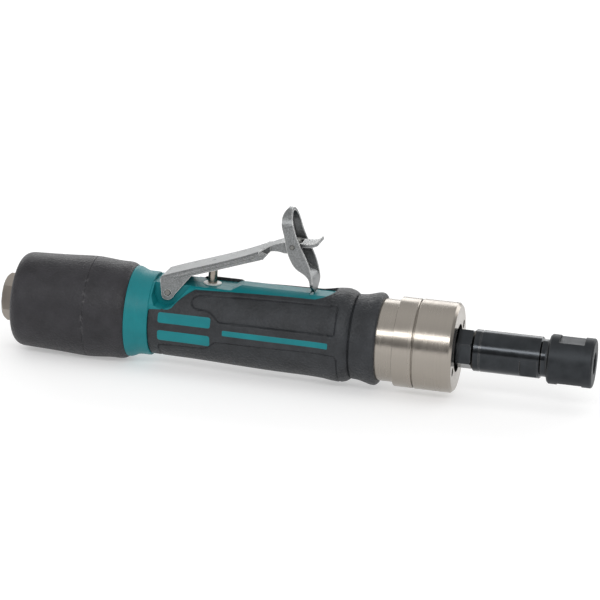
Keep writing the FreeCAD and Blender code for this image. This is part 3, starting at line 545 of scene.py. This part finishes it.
def grip_radius(station, angle):
    """Outer radius of the grip, grooves included; angle in radians."""
    arc = angle * ARC_RADIUS
    radius = smooth_profile(station, GRIP_PROFILE)
    gap = np.full(angle.shape, FAR)
    for line in panel_lines():
        gap = np.minimum(gap, distance_to_line(station, arc, line))
    return radius - GROOVE_DEPTH * np.exp(-(gap / GROOVE_HALF_WIDTH) ** 2)


def shell_object(name, outer, inner, open_rows):
    """A closed shell between two arrays of points (rows, columns, 3). The first and last columns
    of the rows in open_rows are joined by walls; the other rows close on themselves."""
    rows, columns = outer.shape[:2]
    top = np.arange(rows * columns).reshape(rows, columns)
    under = top + rows * columns
    walls = np.flatnonzero(open_rows[:-1] & open_rows[1:])

    def quads(a, b, c, d):
        return np.stack([a, b, c, d], -1).reshape(-1, 4)

    faces = [quads(top[:-1, :-1], top[1:, :-1], top[1:, 1:], top[:-1, 1:]),
             quads(under[:-1, :-1], under[:-1, 1:], under[1:, 1:], under[1:, :-1])]
    for row in (0, rows - 1):
        faces.append(quads(top[row, :-1], top[row, 1:], under[row, 1:], under[row, :-1]))
    for column in (0, columns - 1):
        faces.append(quads(top[walls, column], top[walls + 1, column],
                           under[walls + 1, column], under[walls, column]))
    mesh = bpy.data.meshes.new(name)
    points = np.concatenate([outer.reshape(-1, 3), inner.reshape(-1, 3)])
    mesh.from_pydata(points.tolist(), [], np.concatenate(faces).tolist())
    return finish_mesh(name, mesh)


def finish_mesh(name, mesh):
    """Weld, close, orient and smooth a mesh, and make its object."""
    work = bmesh.new()
    work.from_mesh(mesh)
    bmesh.ops.remove_doubles(work, verts=work.verts, dist=WELD)
    bmesh.ops.dissolve_degenerate(work, edges=work.edges, dist=NO_LENGTH)
    bmesh.ops.holes_fill(work, edges=[e for e in work.edges if e.is_boundary], sides=8)
    bmesh.ops.recalc_face_normals(work, faces=work.faces)
    work.to_mesh(mesh)
    work.free()
    mesh.shade_smooth()
    mesh.set_sharp_from_angle(angle=math.radians(SHARP_ANGLE))
    made = bpy.data.objects.new(name, mesh)
    bpy.context.scene.collection.objects.link(made)
    return made


def to_metres(station, angle, radius):
    """Points of the part's frame from stations, angles and radii in mm and radians."""
    return np.stack(np.broadcast_arrays(-station, -radius * np.sin(angle),
                                        radius * np.cos(angle)), -1) * MM


def lip_share(station, ends):
    """1 along the lip and 0 beyond its span, with a soft start and a soft end."""
    front, rear = LIP_SPAN
    return (smooth_step(station, front, front + ends[0])
            * (1 - smooth_step(station, rear - ends[1], rear)))


def opening_angle(station, side):
    """Angle of the edge of the composite's opening in the grip; side -1 is the far side."""
    half = np.interp(station, *zip(*OPENING), left=0.0)
    edge = np.arcsin(half / smooth_profile(station, GRIP_PROFILE))
    if side < 0:
        edge = edge - lip_share(station, LIP_INWARD_ENDS) * (edge - math.radians(LIP_ANGLE))
    return edge


def make_grip_skin(rows=250, columns=300):
    """The rubber grip as a closed skin, with its grooves and the raised far edge by the lever."""
    front = np.linspace(GRIP_FRONT, GRIP_FRONT + 0.9, END_ROWS)
    middle = np.linspace(GRIP_FRONT + 1.0, GRIP_REAR - 0.8, rows)
    rear = np.linspace(GRIP_REAR - 0.7, GRIP_REAR, END_ROWS)
    start = [OPENING_FRONT - 0.01, OPENING_FRONT + 0.01]
    stations = np.sort(np.concatenate([front, middle, rear, start]))[:, None]
    near, far = opening_angle(stations, 1), opening_angle(stations, -1)
    across = np.linspace(0.0, 1.0, columns)[None, :]
    angles = near + across * (2 * math.pi - near - far)
    radius = grip_radius(np.broadcast_to(stations, angles.shape), angles)
    to_near = (angles - near) * ARC_RADIUS
    to_far = (2 * math.pi - far - angles) * ARC_RADIUS
    lip = lip_share(stations, LIP_UPWARD_ENDS) * (1 - smooth_step(to_far, *LIP_SLOPE))
    radius = radius + lip * (LIP_RADIUS - radius)
    rounding = np.where(stations > OPENING_FRONT, EDGE_ROUNDING, 0.0)
    for gap in (to_near, to_far):
        near_edge = 1 - np.clip(gap / EDGE_REACH, 0, 1)
        radius = radius - rounding * (1 - np.sqrt(1 - near_edge ** 2))
    outer = to_metres(stations, angles, radius)
    inner = to_metres(stations, angles, np.full(radius.shape, GRIP_INSIDE))
    return shell_object("grip_skin", outer, inner, stations[:, 0] > OPENING_FRONT)


def make_inlay(name, stations, angles, rows=90, columns=36):
    """A thin bar with rounded ends laid in the grip, over a span of stations and of angles."""
    u = np.linspace(-1.0, 1.0, rows)[:, None]
    v = np.linspace(-1.0, 1.0, columns)[None, :]
    half_length = (stations[1] - stations[0]) / 2
    half_height = math.radians(angles[1] - angles[0]) / 2 * ARC_RADIUS
    reach = INLAY_CORNER * half_height
    u = np.sin(u * math.pi / 2)
    station = np.broadcast_to(sum(stations) / 2 + u * half_length, (rows, columns))
    inset = np.clip((np.abs(u) * half_length - (half_length - reach)) / reach, 0.0, 1.0)
    squeeze = 1 - INLAY_CORNER * (1 - np.sqrt(np.clip(1 - inset ** 2, 0.0, 1.0)))
    angle = math.radians(sum(angles) / 2) + v * squeeze * half_height / ARC_RADIUS
    base = smooth_profile(station, GRIP_PROFILE)
    edge = np.minimum((1 - np.abs(v)) * half_height, (1 - np.abs(u)) * half_length)
    crown = INLAY_PROUD * smooth_step(edge, 0.0, INLAY_EDGE)
    outer = to_metres(station, angle, base + crown)
    inner = to_metres(station, angle, base - INLAY_SUNK)
    return shell_object(name, outer, inner, np.ones(rows, bool))


def add_piece(piece, body, slot, replaces=()):
    """Give a new piece its material, body and slot."""
    piece.data.materials.append(MATERIALS[slot])
    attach(piece, body)
    if replaces:
        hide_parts(*replaces)


# ---- the scene ----------------------------------------------------------------------------

MATERIALS = make_materials()
finish_nodes(MATERIALS)
add_piece(make_grip_skin(), "housing", "grip_rubber", replaces=["grip_sleeve"])
for side, turn in (("near", 1), ("far", -1)):
    for number, (stations, angles) in enumerate(INLAYS):
        span = angles if turn > 0 else (360 - angles[1], 360 - angles[0])
        bar = make_inlay("inlay_%s_%d" % (side, number), stations, span)
        add_piece(bar, "housing", "teal_composite")
make_camera()
make_studio()
